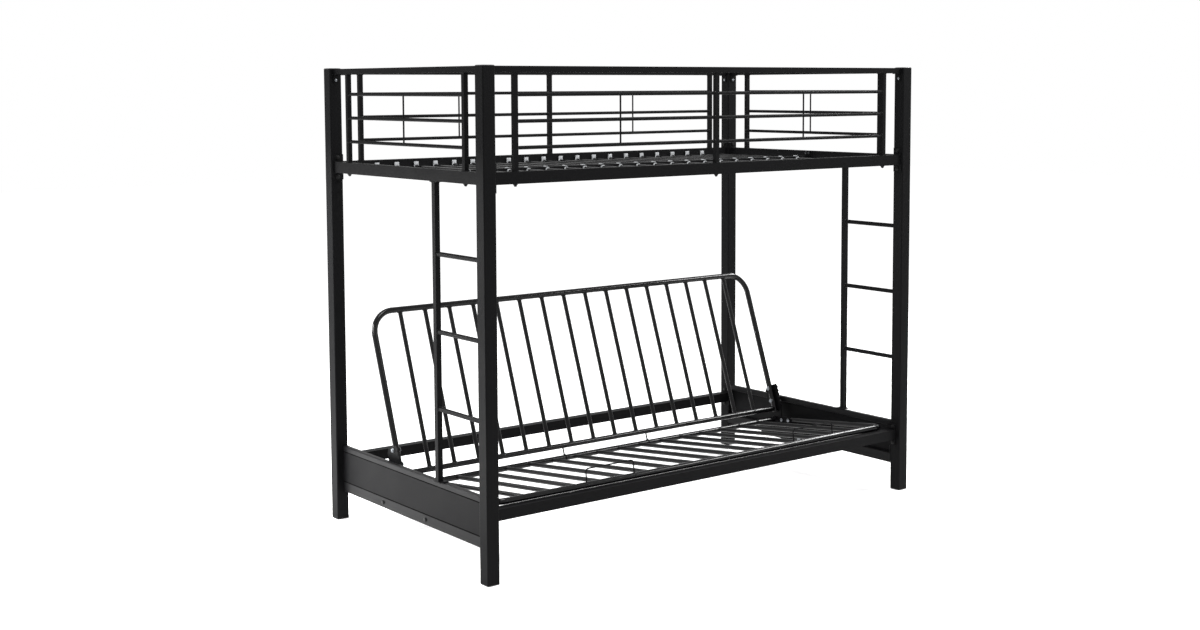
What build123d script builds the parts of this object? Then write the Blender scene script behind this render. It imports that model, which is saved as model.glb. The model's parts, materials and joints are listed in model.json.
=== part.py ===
from build123d import *
import math
import os

os.makedirs("parts", exist_ok=True)

# Steel bunk bed with a futon frame below that folds from sofa to flat bed.
# Millimetres, origin on the floor under the middle, X along the bed, the open front faces -Y.

# Whole bed
bed_length = 1981
bed_depth = 1052
bed_height = 1663

# Corner posts, square tube
post_size = 47
post_corner = 4
tube_wall = 1.5
glide_height = 4
cap_height = 3
plug_depth = 14
plug_clearance = 0.2

# Upper side rails, rectangular tube with a welded plate at each end
guard_height = 378
upper_rail_height = 40
upper_rail_width = 25
end_plate = 4
upper_plate_width = 38
upper_plate_height = 92
upper_bolt_pitch = 70

# Guard above the upper rails
guard_rail_size = 20
guard_rail_drop = 3
light_wall = 1.2
upright_size = 16
upright_inset_long = 112
upright_inset_short = 117.5
rod_diameter = 12
rod_lift = 75
rod_pitch = 84.5
rod_count = 3
wire_diameter = 6
wire_place_share = 0.5
bracket_width = 20
bracket_leg = 30
bracket_shelf = 22
bracket_thickness = 2.5
bracket_screw_drop = 20

# Upper deck, round tube slats in plastic end clips, held at half length by a beam they run through
slat_count = 22
slat_end_gap = 61.5
slat_lift = 9
slat_diameter = 12
slat_wall = 1
beam_size = 20
beam_plate = 4
beam_plate_width = 30
beam_screw_lift = 31
beam_screw_pitch = 16
clip_width = 18
clip_height = 30
clip_depth = 22
clip_floor = 4
clip_corner = 2

# Ladders in both ends
stile_size = 19
rung_length = 269.5
rung_diameter = 16
rung_wall = 1.2
rung_count = 3
rung_first_share = 0.245
rung_pitch_share = 0.259
saddle_thickness = 3
saddle_length = 44
saddle_width = 32

# End panels
panel_inset = 26.8
panel_thickness = 20
panel_bottom = 104
panel_height = 171
panel_foot_height = 40
panel_head_height = 22
panel_corner = 4
panel_sheet = 1.2
panel_recess = 0.5
panel_flange = 12
panel_cheek = 3
panel_bolt_inset = 8
panel_bolt_pitch = 60

# Low rails under the futon, square tube
low_rail_size = 38
low_rail_inset = 20
low_rail_bottom = 202
low_plate_width = 42
low_plate_height = 82
low_bolt_pitch = 62
low_bolt_shift = 7.5

# Bolts
bolt_radius = 4
bolt_head_flats = 13
bolt_head_height = 3.2
bolt_reach = 12
screw_radius = 2.5
screw_head_radius = 4.5
screw_head_height = 2.5
hole_clearance = 0.1

# Futon frame, round tube
frame_tube = 22
frame_side_gap = 31.5
frame_bar_diameter = 16
frame_bar_wall = 1.2
frame_bar_count = 16
frame_bar_end_gap = 119.25
seat_lap = 3
seat_corner = 40
seat_tube_setback = 28
back_lap = 37
back_corner = 85
back_tube_setback = 34
back_lean = 19.7
back_low_tube = 20
back_low_tube_offset = 46
weld_gap = 0.1

# Futon fold, two swing arms carry the axle between seat and backrest
axle_share = 0.282051
axle_height = 182
rest_clearance = 0.6
running_gap = 0.3
fit_clearance = 0.05
arm_foot_height = 124
arm_thickness = 5
arm_eye_radius = 17
arm_waist = 24
hinge_plate = 4
axle_bolt_radius = 6
axle_bolt_head_flats = 19
axle_bolt_head_height = 6
axle_sleeve_radius = 9
axle_plug_length = 20
arm_bolt_radius = 5
arm_bolt_flats = 16
arm_bolt_head_height = 5

# Base channels that carry the swing arms
channel_wall = 3
channel_lift = 4
channel_height = 38
channel_overhang = 25
channel_bolt_behind = 55
channel_bolt_before = 75.5
channel_bolt_height = 124
channel_nut_height = 6

# Hinge plates
seat_plate_eye = 16
seat_plate_tail = 13
seat_plate_reach = 84
seat_bolt_first = 44
back_plate_rear = 42
back_plate_rear_foot = 66
back_plate_front = 30
back_plate_foot = 46
back_plate_bevel = 16
back_bolt_end = 2
back_plate_top = 146
back_bolt_first = 80
back_bolt_second = 133
back_plate_corner = 6
tooth_height = 6
tooth_count = 6

# Mattress stops and tie links
stop_wire = 5
stop_width = 206
stop_height = 44
stop_bend = 12
stop_left_share = -0.4847
stop_right_share = 0.5844
tie_share = 0.2237
tie_wire = 4
tie_eye_clearance = 0.5

# Worked out places
half_length = bed_length / 2
half_depth = bed_depth / 2
post_x = half_length - post_size / 2
post_y = half_depth - post_size / 2
inner_x = half_length - post_size
inner_y = half_depth - post_size
post_height = bed_height - cap_height - glide_height
upper_rail_bottom = bed_height - guard_height
upper_rail_middle = upper_rail_bottom + upper_rail_height / 2
upper_rail_top = upper_rail_bottom + upper_rail_height
guard_rail_top = bed_height - guard_rail_drop
guard_rail_bottom = guard_rail_top - guard_rail_size
bracket_screw_height = guard_rail_bottom - bracket_screw_drop
low_rail_middle = low_rail_bottom + low_rail_size / 2
low_rail_top = low_rail_bottom + low_rail_size
low_rail_y = half_depth - low_rail_inset - low_rail_size / 2
low_rail_inner_y = low_rail_y - low_rail_size / 2
low_bolt_y = post_y - low_bolt_shift
panel_outer_x = half_length - panel_inset
panel_inner_x = panel_outer_x - panel_thickness
panel_top = panel_bottom + panel_height
panel_bolt_x = panel_inner_x + panel_bolt_inset
sheet_height = panel_height - panel_foot_height - panel_head_height
sheet_middle = panel_bottom + panel_foot_height + sheet_height / 2
rod_heights = [upper_rail_top + rod_lift + rod_pitch * row for row in range(rod_count)]
upright_reach_long = post_x - upright_inset_long
upright_reach_short = post_y - upright_inset_short
slat_pitch = 2 * (inner_x - slat_end_gap) / (slat_count - 1)
slat_height = upper_rail_bottom + slat_lift
stile_forward = inner_y - rung_length - stile_size / 2
stile_bottom = panel_top + saddle_thickness
stile_top = upper_rail_bottom - saddle_thickness
stile_length = stile_top - stile_bottom
rung_shares = [rung_first_share + rung_pitch_share * step for step in range(rung_count)]
rung_heights = [stile_bottom + stile_length * share for share in rung_shares]
tube_radius = frame_tube / 2

# Futon frame, set by the space between the posts and the low rails
frame_half_width = inner_x - frame_side_gap
frame_bar_pitch = 2 * (frame_half_width - frame_bar_end_gap) / (frame_bar_count - 1)
axle_back = axle_share * low_rail_inner_y
axle_travel = 2 * axle_back
seat_length = axle_back + low_rail_inner_y - seat_lap
back_length = axle_back + low_rail_inner_y + back_lap
stop_middles = [frame_half_width * stop_left_share, frame_half_width * stop_right_share]
tie_reach = frame_half_width * tie_share

# Layers of the hinge, the back plates outside the side tubes and the rest inside them
tube_inner_x = frame_half_width - tube_radius
tube_outer_x = frame_half_width + tube_radius
back_plate_x = tube_outer_x + running_gap + hinge_plate
axle_head_x = back_plate_x + running_gap
seat_plate_x = tube_inner_x - running_gap
arm_x = seat_plate_x - hinge_plate - running_gap
axle_end_x = arm_x - arm_thickness - running_gap
channel_inner_x = arm_x + running_gap

# The front tube of the seat lies against the inner top edge of the front low rail
edge_reach = axle_back + low_rail_inner_y
edge_rise = low_rail_top - axle_height
edge_distance = math.hypot(edge_reach, edge_rise)
seat_contact = tube_radius + rest_clearance
contact_cosine = (edge_distance**2 + seat_length**2 - seat_contact**2) / (2 * edge_distance * seat_length)
seat_tilt = math.degrees(math.atan2(edge_rise, edge_reach) + math.acos(contact_cosine))

# The arm foot is as far from the axle in sofa position as in bed position
flat_height = low_rail_top + tube_radius + rest_clearance
flat_back = axle_back - axle_travel
sofa_rise = axle_height - arm_foot_height
flat_rise = flat_height - arm_foot_height
arm_foot_y = (axle_back + flat_back) / 2 + (sofa_rise**2 - flat_rise**2) / (2 * axle_travel)
arm_length = math.hypot(axle_back - arm_foot_y, sofa_rise)
sofa_angle = math.degrees(math.atan2(sofa_rise, axle_back - arm_foot_y))
flat_angle = math.degrees(math.atan2(flat_rise, flat_back - arm_foot_y))
channel_bolt_back = axle_back + channel_bolt_behind
channel_bolt_front = channel_bolt_before - arm_foot_y

# Planes at the axle: local x runs along the seat or up the backrest, local z along the bed
axle_point = (0, axle_back, axle_height)
seat_direction = Vector(0, -math.cos(math.radians(seat_tilt)), math.sin(math.radians(seat_tilt)))
back_direction = Vector(0, math.sin(math.radians(back_lean)), math.cos(math.radians(back_lean)))
arm_direction = Vector(0, arm_foot_y - axle_back, -sofa_rise).normalized()


def save(builder, label):
    """Name a finished piece and write it."""
    builder.part.label = label
    export_step(builder.part, f"parts/{label}.step")


def face_x(side, x, y=0, z=0):
    """Plane square to X that faces out along the bed, with its local y upwards."""
    return Plane(origin=(side * x, y, z), x_dir=(0, side, 0), z_dir=(side, 0, 0))


def face_y(side, y, x=0, z=0):
    """Plane square to Y that faces out across the bed, with its local y upwards."""
    return Plane(origin=(x, side * y, z), x_dir=(-side, 0, 0), z_dir=(0, side, 0))


def along(direction, x):
    """Plane square to X at the axle, whose local x follows a direction in the YZ plane."""
    return Plane(origin=(x, axle_back, axle_height), x_dir=direction, z_dir=(1, 0, 0))


def tube_section(width, height, wall, corner=0):
    """Rectangular tube section, in the sketch that is open."""
    if corner:
        RectangleRounded(width, height, corner)
        RectangleRounded(width - 2 * wall, height - 2 * wall, corner - wall, mode=Mode.SUBTRACT)
    else:
        Rectangle(width, height)
        Rectangle(width - 2 * wall, height - 2 * wall, mode=Mode.SUBTRACT)


def ring_section(radius, wall):
    """Round tube section, in the sketch that is open."""
    Circle(radius)
    Circle(radius - wall, mode=Mode.SUBTRACT)


def hexagon(flats):
    """Hexagon of a bolt head, by its width across flats."""
    RegularPolygon(flats / 2, 6, major_radius=False)


# Corner posts, drilled for the rails, brackets and panels they carry
upper_bolt_heights = [upper_rail_middle - upper_bolt_pitch / 2, upper_rail_middle + upper_bolt_pitch / 2]
low_bolt_heights = [low_rail_middle - low_bolt_pitch / 2, low_rail_middle + low_bolt_pitch / 2]
panel_bolt_heights = [sheet_middle - panel_bolt_pitch / 2, sheet_middle + panel_bolt_pitch / 2]


def bolted_faces(side_x, side_y):
    """Post faces at one corner, each with the thickness bolted to it and the heights of its bolts."""
    return (
        (face_x(side_x, inner_x, y=side_y * post_y), end_plate, upper_bolt_heights),
        (face_x(side_x, inner_x, y=side_y * low_bolt_y), end_plate, low_bolt_heights),
        (face_y(side_y, inner_y, x=side_x * post_x), end_plate, upper_bolt_heights),
        (face_y(side_y, inner_y, x=side_x * panel_bolt_x), panel_cheek, panel_bolt_heights),
    )


def guard_faces(side_x, side_y):
    """The two post faces at one corner that guard rails meet."""
    return (
        face_x(side_x, inner_x, y=side_y * post_y),
        face_y(side_y, inner_y, x=side_x * post_x),
    )


def spots(heights):
    """Places of a column of holes, for Locations in a sketch on a post face."""
    return [(0, height) for height in heights]


corners = [(side_x, side_y) for side_x in (-1, 1) for side_y in (-1, 1)]
side_names = {-1: "left", 1: "right"}
face_names = {-1: "front", 1: "back"}
for side_x, side_y in corners:
    with BuildPart() as post:
        with BuildSketch(Plane.XY.offset(glide_height)):
            with Locations((side_x * post_x, side_y * post_y)):
                tube_section(post_size, post_size, tube_wall, post_corner)
        extrude(amount=post_height)
        for plane, thickness, heights in bolted_faces(side_x, side_y):
            with BuildSketch(plane):
                with Locations(*spots(heights)):
                    Circle(bolt_radius + hole_clearance)
            extrude(amount=2 * tube_wall, mode=Mode.SUBTRACT)
        for plane in guard_faces(side_x, side_y):
            with BuildSketch(plane):
                with Locations((0, bracket_screw_height)):
                    Circle(screw_radius + hole_clearance)
            extrude(amount=2 * tube_wall, mode=Mode.SUBTRACT)
    save(post, f"post_{face_names[side_y]}_{side_names[side_x]}")

post_inside = post_size - 2 * tube_wall - 2 * plug_clearance
with BuildPart() as post_caps:
    with BuildSketch(Plane.XY.offset(bed_height - cap_height)):
        with GridLocations(2 * post_x, 2 * post_y, 2, 2):
            RectangleRounded(post_size, post_size, post_corner)
    extrude(amount=cap_height)
    chamfer(post_caps.faces().filter_by(Axis.Z).group_by(Axis.Z)[-1].edges(), cap_height / 3)
    with BuildSketch(Plane.XY.offset(bed_height - cap_height - plug_depth)):
        with GridLocations(2 * post_x, 2 * post_y, 2, 2):
            RectangleRounded(post_inside, post_inside, post_corner - tube_wall)
    extrude(amount=plug_depth)
save(post_caps, "post_caps")

with BuildPart() as foot_glides:
    with BuildSketch():
        with GridLocations(2 * post_x, 2 * post_y, 2, 2):
            RectangleRounded(post_size, post_size, post_corner)
    extrude(amount=glide_height)
    with BuildSketch(Plane.XY.offset(glide_height)):
        with GridLocations(2 * post_x, 2 * post_y, 2, 2):
            RectangleRounded(post_inside, post_inside, post_corner - tube_wall)
    extrude(amount=plug_depth)
save(foot_glides, "foot_glides")


def long_rail(plane, inner, section, drillings, screw_face=None, screw_spots=()):
    """Rectangular tube between the end plates of two posts, drilled upright and in one face if asked."""
    width, height, middle = section
    with BuildPart() as rail:
        with BuildSketch(plane):
            with Locations((0, middle)):
                tube_section(width, height, tube_wall)
        extrude(amount=inner - end_plate, both=True)
        if drillings:
            with BuildSketch(Plane.XY.offset(middle)):
                with Locations(*drillings):
                    Circle(bolt_radius + hole_clearance)
            extrude(amount=height, both=True, mode=Mode.SUBTRACT)
        if screw_face:
            with BuildSketch(screw_face):
                with Locations(*screw_spots):
                    Circle(screw_radius + hole_clearance)
            extrude(amount=2 * tube_wall, both=True, mode=Mode.SUBTRACT)
    return rail


# Upper side rails and the low rails that the futon rests on
upper_section = (upper_rail_width, upper_rail_height, upper_rail_middle)
low_section = (low_rail_size, low_rail_size, low_rail_middle)
for side_y, name in face_names.items():
    places = [(x, side_y * post_y) for x in (-upright_reach_long, 0, upright_reach_long)]
    save(long_rail(face_x(1, 0, y=side_y * post_y), inner_x, upper_section, places), f"upper_rail_{name}")
    save(long_rail(face_x(1, 0, y=side_y * low_rail_y), inner_x, low_section, []), f"low_rail_{name}")
rail_face_x = post_x - upper_rail_width / 2
rail_face_y = post_y - upper_rail_width / 2
beam_screw_height = upper_rail_bottom + beam_screw_lift
beam_screws = [(y, beam_screw_height) for y in (-beam_screw_pitch / 2, beam_screw_pitch / 2)]
for side_x, name in side_names.items():
    places = [(side_x * post_x, y) for y in (-upright_reach_short, upright_reach_short)]
    end_rail = long_rail(face_y(1, 0, x=side_x * post_x), inner_y, upper_section, places,
                         face_x(side_x, rail_face_x), beam_screws)
    save(end_rail, f"upper_rail_{name}")

# Plates welded on the ends of these rails, drilled above and below the tube
with BuildPart() as rail_end_plates:
    for side_x, side_y in corners:
        for plane, heights in (
            (face_x(side_x, inner_x, y=side_y * post_y), upper_bolt_heights),
            (face_y(side_y, inner_y, x=side_x * post_x), upper_bolt_heights),
        ):
            with BuildSketch(plane):
                with Locations((0, upper_rail_middle)):
                    Rectangle(upper_plate_width, upper_plate_height)
                with Locations(*spots(heights)):
                    Circle(bolt_radius + hole_clearance, mode=Mode.SUBTRACT)
            extrude(amount=-end_plate)
        with BuildSketch(face_x(side_x, inner_x, y=side_y * low_rail_y)):
            with Locations((0, low_rail_middle)):
                Rectangle(low_plate_width, low_plate_height)
            bolt_offset = side_x * side_y * (low_bolt_y - low_rail_y)
            with Locations(*[(bolt_offset, height) for height in low_bolt_heights]):
                Circle(bolt_radius + hole_clearance, mode=Mode.SUBTRACT)
        extrude(amount=-end_plate)
save(rail_end_plates, "rail_end_plates")

# Bolts of the end plates and of the end panels
with BuildPart() as frame_bolts:
    for side_x, side_y in corners:
        for plane, thickness, heights in bolted_faces(side_x, side_y):
            with BuildSketch(plane.offset(-thickness)):
                with Locations(*spots(heights)):
                    hexagon(bolt_head_flats)
            extrude(amount=-bolt_head_height)
            with BuildSketch(plane.offset(-thickness)):
                with Locations(*spots(heights)):
                    Circle(bolt_radius)
            extrude(amount=bolt_reach)
save(frame_bolts, "frame_bolts")

# Guard top rails
guard_rail_middle = guard_rail_top - guard_rail_size / 2
for plane, reach, name in (
    (face_x(1, 0, y=-post_y), inner_x, "front"),
    (face_x(1, 0, y=post_y), inner_x, "back"),
    (face_y(1, 0, x=-post_x), inner_y, "left"),
    (face_y(1, 0, x=post_x), inner_y, "right"),
):
    with BuildPart() as guard_rail:
        with BuildSketch(plane):
            with Locations((0, guard_rail_middle)):
                tube_section(guard_rail_size, guard_rail_size, light_wall)
        extrude(amount=reach, both=True)
    save(guard_rail, f"guard_rail_{name}")

# Angle brackets that hold the guard rails to the posts, and the screws of brackets and deck beam
with BuildPart() as guard_brackets:
    for side_x, side_y in corners:
        for plane in guard_faces(side_x, side_y):
            with BuildSketch(plane):
                with Locations((0, guard_rail_bottom - bracket_leg / 2)):
                    Rectangle(bracket_width, bracket_leg)
                with Locations((0, bracket_screw_height)):
                    Circle(screw_radius + hole_clearance, mode=Mode.SUBTRACT)
            extrude(amount=-bracket_thickness)
            with BuildSketch(plane):
                with Locations((0, guard_rail_bottom - bracket_thickness / 2)):
                    Rectangle(bracket_width, bracket_thickness)
            extrude(amount=-bracket_shelf)
save(guard_brackets, "guard_brackets")

screwed_faces = [
    (plane.offset(-bracket_thickness), [(0, bracket_screw_height)])
    for side_x, side_y in corners for plane in guard_faces(side_x, side_y)
] + [(face_x(side_x, rail_face_x - beam_plate), beam_screws) for side_x in (-1, 1)]
with BuildPart() as bracket_screws:
    for plane, screw_spots in screwed_faces:
        with BuildSketch(plane):
            with Locations(*screw_spots):
                Circle(screw_head_radius)
        extrude(amount=-screw_head_height)
        with BuildSketch(plane):
            with Locations(*screw_spots):
                Circle(screw_radius)
        extrude(amount=bolt_reach)
save(bracket_screws, "bracket_screws")


def uprights(places, bore_axis, bored):
    """Square guard uprights between the upper rail and the guard rail, some bored for the rods."""
    with BuildPart() as group:
        with BuildSketch(Plane.XY.offset(upper_rail_top)):
            with Locations(*places):
                tube_section(upright_size, upright_size, light_wall)
        extrude(amount=guard_rail_bottom - upper_rail_top)
        for place in bored:
            with Locations(*[(*place, height) for height in rod_heights]):
                Cylinder(
                    rod_diameter / 2 + hole_clearance, 2 * upright_size,
                    rotation=bore_axis, mode=Mode.SUBTRACT,
                )
    return group


def rod_grid(plane, reach, wire_places):
    """Three horizontal rods joined by thin upright wires, in a plane square to the rods."""
    with BuildPart() as grid:
        with BuildSketch(plane.offset(-reach)):
            with Locations(*[(0, height) for height in rod_heights]):
                Circle(rod_diameter / 2)
        extrude(amount=2 * reach)
        with BuildSketch(Plane.XY.offset(rod_heights[0])):
            with Locations(*wire_places):
                Circle(wire_diameter / 2)
        extrude(amount=rod_heights[-1] - rod_heights[0])
    return grid


# Guard uprights, rods and wires on the four sides
long_rod_reach = upright_reach_long - upright_size / 2
short_rod_reach = upright_reach_short - upright_size / 2
long_wire = upright_reach_long * wire_place_share
for side_y, name in face_names.items():
    y = side_y * post_y
    places = [(x, y) for x in (-upright_reach_long, 0, upright_reach_long)]
    save(uprights(places, (0, 90, 0), [(0, y)]), f"guard_uprights_{name}")
    grid = rod_grid(face_x(1, 0, y=y), long_rod_reach, [(-long_wire, y), (long_wire, y)])
    save(grid, f"guard_rods_{name}")
for side_x, end in side_names.items():
    x = side_x * post_x
    places = [(x, y) for y in (-upright_reach_short, upright_reach_short)]
    save(uprights(places, (90, 0, 0), []), f"guard_uprights_{end}")
    grid = rod_grid(face_y(1, 0, x=x), short_rod_reach, [(x, 0)])
    save(grid, f"guard_rods_{end}")

# Long bolts that come up through the upper rails into the uprights
upright_places = [
    (x, side_y * post_y) for side_y in (-1, 1) for x in (-upright_reach_long, 0, upright_reach_long)
] + [(side_x * post_x, side_y * upright_reach_short) for side_x in (-1, 1) for side_y in (-1, 1)]
with BuildPart() as upright_bolts:
    with BuildSketch(Plane.XY.offset(upper_rail_bottom)):
        with Locations(*upright_places):
            hexagon(bolt_head_flats)
    extrude(amount=-bolt_head_height)
    with BuildSketch(Plane.XY.offset(upper_rail_bottom)):
        with Locations(*upright_places):
            Circle(bolt_radius)
    extrude(amount=upper_rail_height + bolt_reach)
save(upright_bolts, "upright_bolts")

# Upper deck slats and their clips on the inner faces of the long upper rails
slat_half = rail_face_y - clip_floor
with BuildPart() as upper_slats:
    with BuildSketch(face_y(1, -slat_half)):
        with Locations((0, slat_height)):
            with GridLocations(slat_pitch, 0, slat_count, 1):
                ring_section(slat_diameter / 2, slat_wall)
    extrude(amount=2 * slat_half)
save(upper_slats, "upper_slats")

for side_y, name in face_names.items():
    with BuildPart() as slat_clips:
        with BuildSketch(face_y(side_y, rail_face_y)):
            with Locations((0, upper_rail_bottom + clip_height / 2)):
                with GridLocations(slat_pitch, 0, slat_count, 1):
                    RectangleRounded(clip_width, clip_height, clip_corner)
        extrude(amount=-clip_depth)
        with BuildSketch(face_y(side_y, rail_face_y - clip_floor)):
            with Locations((0, slat_height)):
                with GridLocations(slat_pitch, 0, slat_count, 1):
                    Circle(slat_diameter / 2 + hole_clearance)
        extrude(amount=-clip_depth, mode=Mode.SUBTRACT)
    save(slat_clips, f"slat_clips_{name}")

# Beam bored for the middle of the slats, with a plate at each end screwed to the end rails
with BuildPart() as deck_beam:
    with BuildSketch(face_x(1, -(rail_face_x - beam_plate))):
        with Locations((0, upper_rail_bottom + beam_size / 2)):
            tube_section(beam_size, beam_size, light_wall)
    extrude(amount=2 * (rail_face_x - beam_plate))
    with BuildSketch(Plane.XZ):
        with Locations((0, slat_height)):
            with GridLocations(slat_pitch, 0, slat_count, 1):
                Circle(slat_diameter / 2 + hole_clearance)
    extrude(amount=beam_size, both=True, mode=Mode.SUBTRACT)
    for side_x in (-1, 1):
        with BuildSketch(face_x(side_x, rail_face_x)):
            with Locations((0, upper_rail_middle)):
                Rectangle(beam_plate_width, upper_rail_height)
            with Locations(*beam_screws):
                Circle(screw_radius + hole_clearance, mode=Mode.SUBTRACT)
        extrude(amount=-beam_plate)
save(deck_beam, "deck_beam")

# Ladders, a square stile with rungs that run forward to the front post
for side_x, end in side_names.items():
    with BuildPart() as stile:
        with BuildSketch(Plane.XY.offset(stile_bottom)):
            with Locations((side_x * post_x, -stile_forward)):
                tube_section(stile_size, stile_size, light_wall)
        extrude(amount=stile_length)
    save(stile, f"ladder_stile_{end}")
    stile_face = stile_forward + stile_size / 2
    with BuildPart() as rungs:
        with BuildSketch(face_y(-1, stile_face, x=side_x * post_x)):
            with Locations(*[(0, height) for height in rung_heights]):
                ring_section(rung_diameter / 2, rung_wall)
        extrude(amount=inner_y - stile_face)
    save(rungs, f"ladder_rungs_{end}")

saddle_x = post_x - (saddle_width - stile_size) / 2
with BuildPart() as ladder_saddles:
    for height in (panel_top, stile_top):
        with BuildSketch(Plane.XY.offset(height)):
            with Locations((-saddle_x, -stile_forward), (saddle_x, -stile_forward)):
                Rectangle(saddle_width, saddle_length)
        extrude(amount=saddle_thickness)
save(ladder_saddles, "ladder_saddles")

# End panels, a tubular foot and head joined by cheeks, with a folded sheet set between them
channel_bolt_places = [channel_bolt_back, -channel_bolt_front]
for side_x, end in side_names.items():
    panel_middle_x = side_x * (panel_outer_x - panel_thickness / 2)
    with BuildPart() as panel_frame:
        with BuildSketch(face_y(1, 0, x=panel_middle_x)):
            with Locations((0, panel_bottom + panel_foot_height / 2)):
                tube_section(panel_thickness, panel_foot_height, tube_wall, panel_corner)
            with Locations((0, panel_top - panel_head_height / 2)):
                tube_section(panel_thickness, panel_head_height, tube_wall, panel_corner)
        extrude(amount=inner_y, both=True)
        for side_y in (-1, 1):
            with BuildSketch(face_y(side_y, inner_y, x=panel_middle_x)):
                with Locations((0, sheet_middle)):
                    Rectangle(panel_thickness, sheet_height)
            extrude(amount=-panel_cheek)
            with BuildSketch(face_y(side_y, inner_y, x=side_x * panel_bolt_x)):
                with Locations(*spots(panel_bolt_heights)):
                    Circle(bolt_radius + hole_clearance)
            extrude(amount=-2 * panel_cheek, mode=Mode.SUBTRACT)
        with BuildSketch(face_x(side_x, panel_outer_x)):
            with Locations(*[(side_x * y, channel_bolt_height) for y in channel_bolt_places]):
                Circle(bolt_radius + hole_clearance)
        extrude(amount=-2 * panel_thickness, mode=Mode.SUBTRACT)
    save(panel_frame, f"end_panel_frame_{end}")
    with BuildPart() as panel_skin:
        with BuildSketch(face_x(side_x, panel_outer_x - panel_recess)):
            with Locations((0, sheet_middle)):
                Rectangle(2 * (inner_y - panel_cheek), sheet_height)
        extrude(amount=-panel_sheet)
        with BuildSketch(face_x(side_x, panel_outer_x - panel_recess)):
            with Locations((0, sheet_middle)):
                with GridLocations(0, sheet_height - panel_sheet, 1, 2):
                    Rectangle(2 * (inner_y - panel_cheek), panel_sheet)
        extrude(amount=-panel_flange)
    save(panel_skin, f"end_panel_sheet_{end}")

# Base channels bolted inside the end panels, one flange for the panel and one for the arm
channel_length = channel_bolt_back + channel_bolt_front + 2 * channel_overhang
channel_middle = (channel_bolt_back - channel_bolt_front) / 2
channel_bottom = panel_bottom + channel_lift
channel_width = panel_inner_x - channel_inner_x
for side_x, end in side_names.items():
    with BuildPart() as channel:
        with BuildSketch(Plane.XZ.offset(-channel_middle - channel_length / 2)):
            with Locations((side_x * (channel_inner_x + channel_width / 2), channel_bottom)):
                Rectangle(channel_width, channel_height, align=(Align.CENTER, Align.MIN))
                with Locations((0, channel_wall)):
                    Rectangle(channel_width - 2 * channel_wall, channel_height,
                              align=(Align.CENTER, Align.MIN), mode=Mode.SUBTRACT)
        extrude(amount=channel_length)
        with BuildSketch(face_x(side_x, panel_inner_x)):
            with Locations(*[(side_x * y, channel_bolt_height) for y in channel_bolt_places]):
                Circle(bolt_radius + hole_clearance)
        extrude(amount=-2 * channel_wall, mode=Mode.SUBTRACT)
        with BuildSketch(face_x(side_x, channel_inner_x)):
            with Locations((side_x * arm_foot_y, arm_foot_height)):
                Circle(arm_bolt_radius + hole_clearance)
        extrude(amount=2 * channel_wall, both=True, mode=Mode.SUBTRACT)
    save(channel, f"base_channel_{end}")

with BuildPart() as channel_bolts:
    for side_x in (-1, 1):
        bolt_spots = [(side_x * y, channel_bolt_height) for y in channel_bolt_places]
        with BuildSketch(face_x(side_x, panel_outer_x)):
            with Locations(*bolt_spots):
                hexagon(bolt_head_flats)
        extrude(amount=bolt_head_height)
        with BuildSketch(face_x(side_x, panel_outer_x)):
            with Locations(*bolt_spots):
                Circle(bolt_radius)
        extrude(amount=-(panel_thickness + channel_wall + channel_nut_height))
        with BuildSketch(face_x(side_x, panel_inner_x - channel_wall)):
            with Locations(*bolt_spots):
                hexagon(bolt_head_flats)
        extrude(amount=-channel_nut_height)
save(channel_bolts, "channel_bolts")

# Bolts that the swing arms turn on, held in the inner flange of the channels
with BuildPart() as arm_foot_bolts:
    for side_x in (-1, 1):
        spot = (side_x * arm_foot_y, arm_foot_height)
        with BuildSketch(face_x(side_x, channel_inner_x + channel_wall)):
            with Locations(spot):
                hexagon(arm_bolt_flats)
        extrude(amount=arm_bolt_head_height)
        with BuildSketch(face_x(side_x, channel_inner_x + channel_wall)):
            with Locations(spot):
                Circle(arm_bolt_radius)
        extrude(amount=-(channel_wall + arm_thickness + 2 * running_gap + arm_bolt_head_height))
        with BuildSketch(face_x(side_x, arm_x - arm_thickness - running_gap)):
            with Locations(spot):
                hexagon(arm_bolt_flats)
        extrude(amount=-arm_bolt_head_height)
save(arm_foot_bolts, "arm_foot_bolts")

# Swing arms, a waisted flat bar with an eye at each end
with BuildPart() as swing_arms:
    for side_x in (-1, 1):
        with BuildSketch(along(arm_direction, side_x * (arm_x - arm_thickness / 2))):
            with Locations((0, 0), (arm_length, 0)):
                Circle(arm_eye_radius)
            with Locations((arm_length / 2, 0)):
                Rectangle(arm_length, arm_waist)
            Circle(axle_bolt_radius + fit_clearance, mode=Mode.SUBTRACT)
            with Locations((arm_length, 0)):
                Circle(arm_bolt_radius + fit_clearance, mode=Mode.SUBTRACT)
        extrude(amount=arm_thickness / 2, both=True)
save(swing_arms, "swing_arms")

# Seat, a bent tube open at the back
seat_plane = Plane(origin=axle_point, x_dir=(1, 0, 0), z_dir=Vector(1, 0, 0).cross(seat_direction))
seat_bolts = [seat_bolt_first, seat_plate_reach]
with BuildPart() as seat_frame:
    with BuildLine(seat_plane) as seat_path:
        FilletPolyline(
            (-frame_half_width, seat_tube_setback),
            (-frame_half_width, seat_length),
            (frame_half_width, seat_length),
            (frame_half_width, seat_tube_setback),
            radius=seat_corner,
        )
    with BuildSketch(Plane(origin=seat_path.line @ 0, z_dir=seat_path.line % 0)):
        ring_section(tube_radius, tube_wall)
    sweep(path=seat_path.line)
    for side_x in (-1, 1):
        with BuildSketch(along(seat_direction, side_x * tube_inner_x)):
            with Locations(*[(reach, 0) for reach in seat_bolts]):
                Circle(bolt_radius + hole_clearance)
        extrude(amount=2 * tube_wall, both=True, mode=Mode.SUBTRACT)
save(seat_frame, "seat_frame")

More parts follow.
